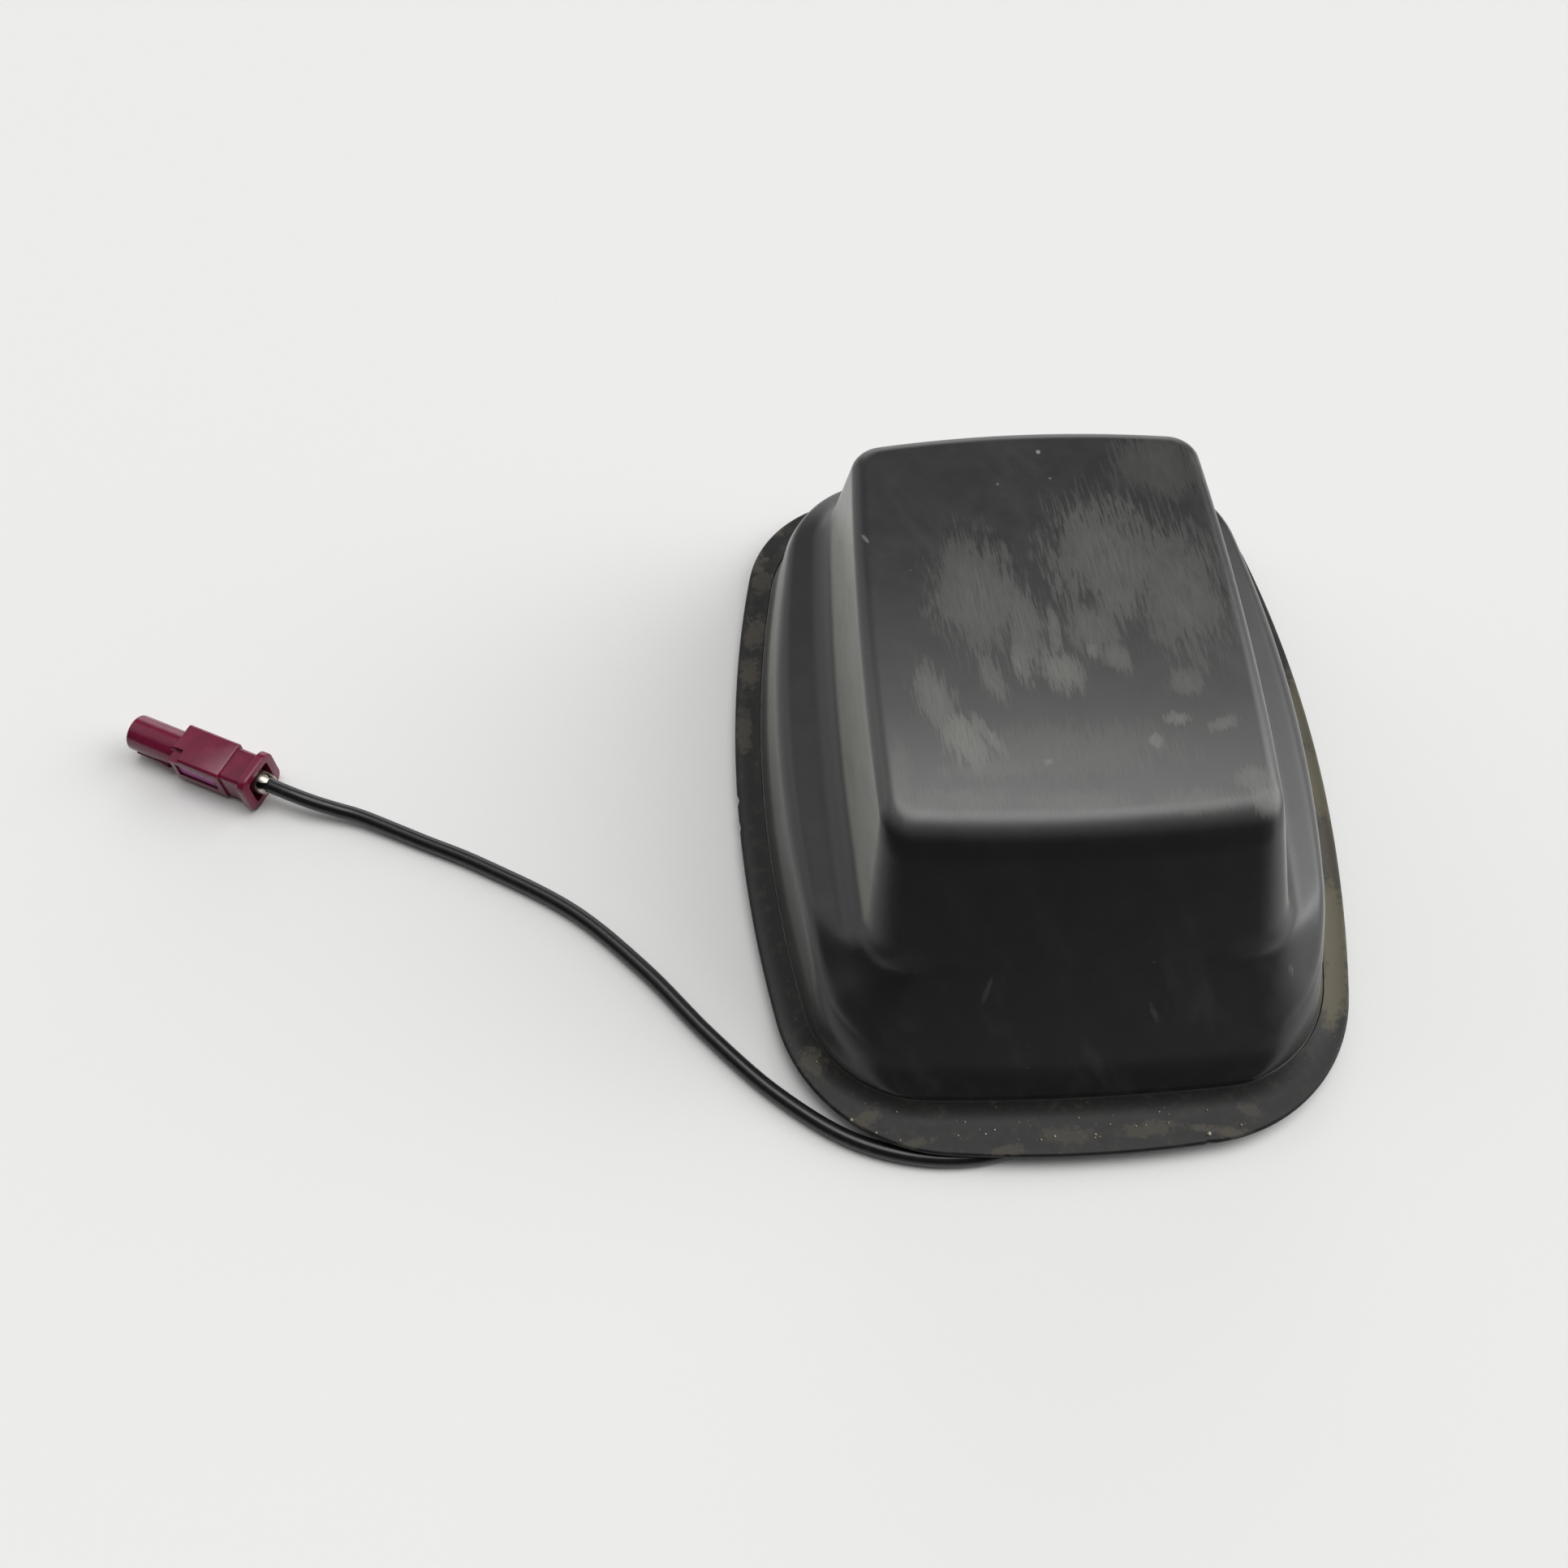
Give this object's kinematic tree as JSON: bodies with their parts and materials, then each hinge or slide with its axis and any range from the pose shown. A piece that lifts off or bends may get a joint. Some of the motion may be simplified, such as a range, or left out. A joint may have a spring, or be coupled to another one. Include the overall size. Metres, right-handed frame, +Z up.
{
  "type": "car roof antenna",
  "caption": "Two-tier moulded roof antenna pod on a rubber rim, with a flat top, a sloping front, a roof boss beneath and a short coaxial lead with a coded connector.",
  "frame": {"origin": "centre of the pod's outline from above, on the surface it stands on, at the underside of the roof boss", "axes": "+Z up through the flat top, -Y towards the sloping front, +X to the side away from the connector"},
  "size_m": [0.2597, 0.165, 0.0496],
  "materials": {
    "shell": "fine matt, scuffed and dusty",
    "rim": "matt, dusty",
    "base": "as cast",
    "foam": "closed-cell foam",
    "insert": "turned",
    "screw": "zinc plated",
    "board": "solder resist",
    "can": "tinned",
    "element": "rolled sheet",
    "carrier": "moulded",
    "grommet": "matt",
    "lead": "satin jacket",
    "housing": "satin moulding",
    "lock": "satin moulding",
    "ferrule": "nickel plated",
    "contact": "plated",
    "insulator": "turned"
  },
  "bodies": {
    "root": {"cover": "shell", "rim_seal": "rim", "base_plate": "base", "roof_seal": "foam", "threaded_insert": "insert", "base_screws": "screw", "circuit_board": "board", "board_screws": "screw", "shield_can": "can", "radiator": "element", "radiator_frame": "carrier", "feed_strip": "element", "cable_clamp": "can", "cable_grommet": "grommet", "inner_lead": "lead", "antenna_lead": "lead", "connector_housing": "housing", "connector_lock": "lock", "crimp_ferrule": "ferrule", "outer_contact": "contact", "insulator": "insulator", "centre_contact": "contact"}
  },
  "joints": []
}
